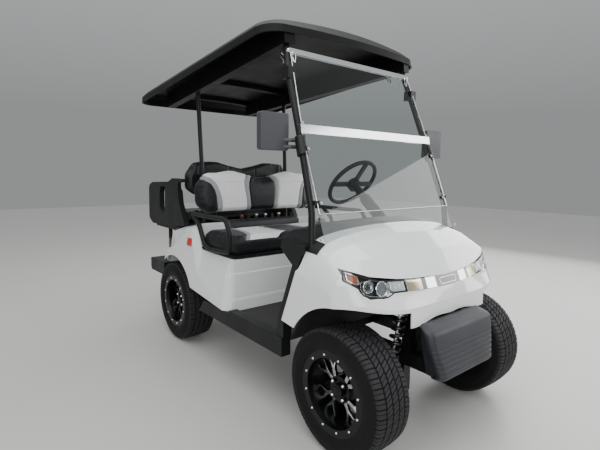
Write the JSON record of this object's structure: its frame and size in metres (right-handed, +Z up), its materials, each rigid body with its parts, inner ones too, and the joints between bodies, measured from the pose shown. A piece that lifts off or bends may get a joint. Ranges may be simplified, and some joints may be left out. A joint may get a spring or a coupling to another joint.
{
  "type": "golf cart",
  "caption": "Lifted electric golf cart with back-to-back bench seats, a fold-down screen, a hard roof, working steering and rolling wheels.",
  "frame": {"origin": "middle of the bounding box on the floor, under the cart", "axes": "+Z up, -Y forwards, +X to the cart's left (the driver's side)"},
  "size_m": [1.436, 2.7112, 2.0609],
  "materials": {
    "white_body": "gloss white moulded panels",
    "black_trim": "satin black moulded plastic",
    "grey_mirror": "grained dark grey plastic",
    "roof_black": "gloss black thermoformed sheet",
    "floor_rubber": "ribbed rubber mat",
    "black_steel": "satin black powder coat",
    "screen_clear": "clear acrylic sheet",
    "screen_bar": "bright extrusion",
    "lamp_lens": "clear lens over reflector",
    "lamp_red": "red lens",
    "chrome_band": "bright chrome",
    "seat_vinyl": "black vinyl with white panels and grey bands",
    "seat_vinyl_black": "plain black vinyl",
    "tyre_rubber": "road tread",
    "wheel_black": "gloss black with machined fingers",
    "coil_steel": "black spring on a dark damper",
    "axle_iron": "painted castings",
    "motor_case": "bare motor case",
    "battery_case": "battery block",
    "wheel_grip": "soft black grip",
    "buckle_black": "black buckle with a red button"
  },
  "bodies": {
    "chassis": {"backrest_bar": "black_steel", "battery_pack": "battery_case", "belt_buckles": "buckle_black", "coilovers": "coil_steel", "control_arms": "black_steel", "dashboard": "black_trim", "drive_motor": "motor_case", "floor_pan": "floor_rubber", "frame": "black_steel", "front_armrests": "black_steel", "front_backrest": "seat_vinyl", "front_bumper": "black_trim", "front_cowl": "white_body", "front_pillars": "black_steel", "headlamps": "lamp_lens", "kick_panels": "black_trim", "leaf_springs": "black_steel", "mirrors": "grey_mirror", "nose_band": "chrome_band", "pedals": "black_steel", "rack_housing": "black_steel", "rear_axle": "axle_iron", "rear_backrest": "seat_vinyl_black", "rear_base": "black_steel", "rear_body": "white_body", "rear_shocks": "coil_steel", "rear_side_arms": "black_trim", "rear_step": "black_trim", "rear_struts": "black_steel", "roof": "roof_black", "roof_rails": "roof_black", "screen_bars": "screen_bar", "seat_back_frame": "black_steel", "seat_hinges": "black_steel", "sills": "black_trim", "steering_column": "black_trim", "tail_lamps": "lamp_red", "windscreen": "screen_clear"},
    "steering_wheel": {"steering_wheel": "wheel_grip"},
    "rack": {"tie_rod": "black_steel"},
    "knuckle_left": {"knuckle_left": "black_steel"},
    "knuckle_right": {"knuckle_right": "black_steel"},
    "seat_lid": {"seat_pan": "black_trim", "front_cushion": "seat_vinyl"},
    "rear_bed": {"rear_board": "black_trim", "rear_cushion": "seat_vinyl_black"},
    "front_wheel_left": {"front_tyre_left": "tyre_rubber", "front_rim_left": "wheel_black"},
    "rear_wheel_left": {"rear_tyre_left": "tyre_rubber", "rear_rim_left": "wheel_black"},
    "front_wheel_right": {"front_tyre_right": "tyre_rubber", "front_rim_right": "wheel_black"},
    "rear_wheel_right": {"rear_tyre_right": "tyre_rubber", "rear_rim_right": "wheel_black"}
  },
  "joints": [
    {"name": "steering_turn", "type": "hinge", "parent": "chassis", "child": "steering_wheel", "pos_m": [0.29, -0.277, 1.203], "axis": [0, 0.766, 0.6428], "range_deg": [-450, 450]},
    {"name": "rack_slide", "type": "slide", "parent": "chassis", "child": "rack", "axis": [1, 0, 0], "range_m": [-0.06, 0.06]},
    {"name": "kingpin_left", "type": "hinge", "parent": "chassis", "child": "knuckle_left", "pos_m": [0.43, -1.029, 0.292], "axis": [0, 0, 1], "range_deg": [-30, 30]},
    {"name": "kingpin_right", "type": "hinge", "parent": "chassis", "child": "knuckle_right", "pos_m": [-0.43, -1.029, 0.292], "axis": [0, 0, 1], "range_deg": [-30, 30]},
    {"name": "front_wheel_left_spin", "type": "hinge", "parent": "knuckle_left", "child": "front_wheel_left", "pos_m": [0.492, -1.029, 0.292], "axis": [1, 0, 0], "continuous": true},
    {"name": "front_wheel_right_spin", "type": "hinge", "parent": "knuckle_right", "child": "front_wheel_right", "pos_m": [-0.492, -1.029, 0.292], "axis": [1, 0, 0], "continuous": true},
    {"name": "rear_wheel_left_spin", "type": "hinge", "parent": "chassis", "child": "rear_wheel_left", "pos_m": [0.492, 0.718, 0.292], "axis": [1, 0, 0], "continuous": true},
    {"name": "rear_wheel_right_spin", "type": "hinge", "parent": "chassis", "child": "rear_wheel_right", "pos_m": [-0.492, 0.718, 0.292], "axis": [1, 0, 0], "continuous": true},
    {"name": "seat_lid_hinge", "type": "hinge", "parent": "chassis", "child": "seat_lid", "pos_m": [0, 0.339, 0.86], "axis": [-1, 0, 0], "range_deg": [0, 65]},
    {"name": "rear_bed_flip", "type": "hinge", "parent": "chassis", "child": "rear_bed", "pos_m": [0, 1.306, 0.84], "axis": [-1, 0, 0], "range_deg": [0, 180]}
  ],
  "couplings": [
    {"joint": "kingpin_left", "follows": "steering_turn", "ratio": 0.0666},
    {"joint": "kingpin_right", "follows": "steering_turn", "ratio": 0.0666},
    {"joint": "rack_slide", "follows": "steering_turn", "m_per_rad": -0.0076}
  ]
}
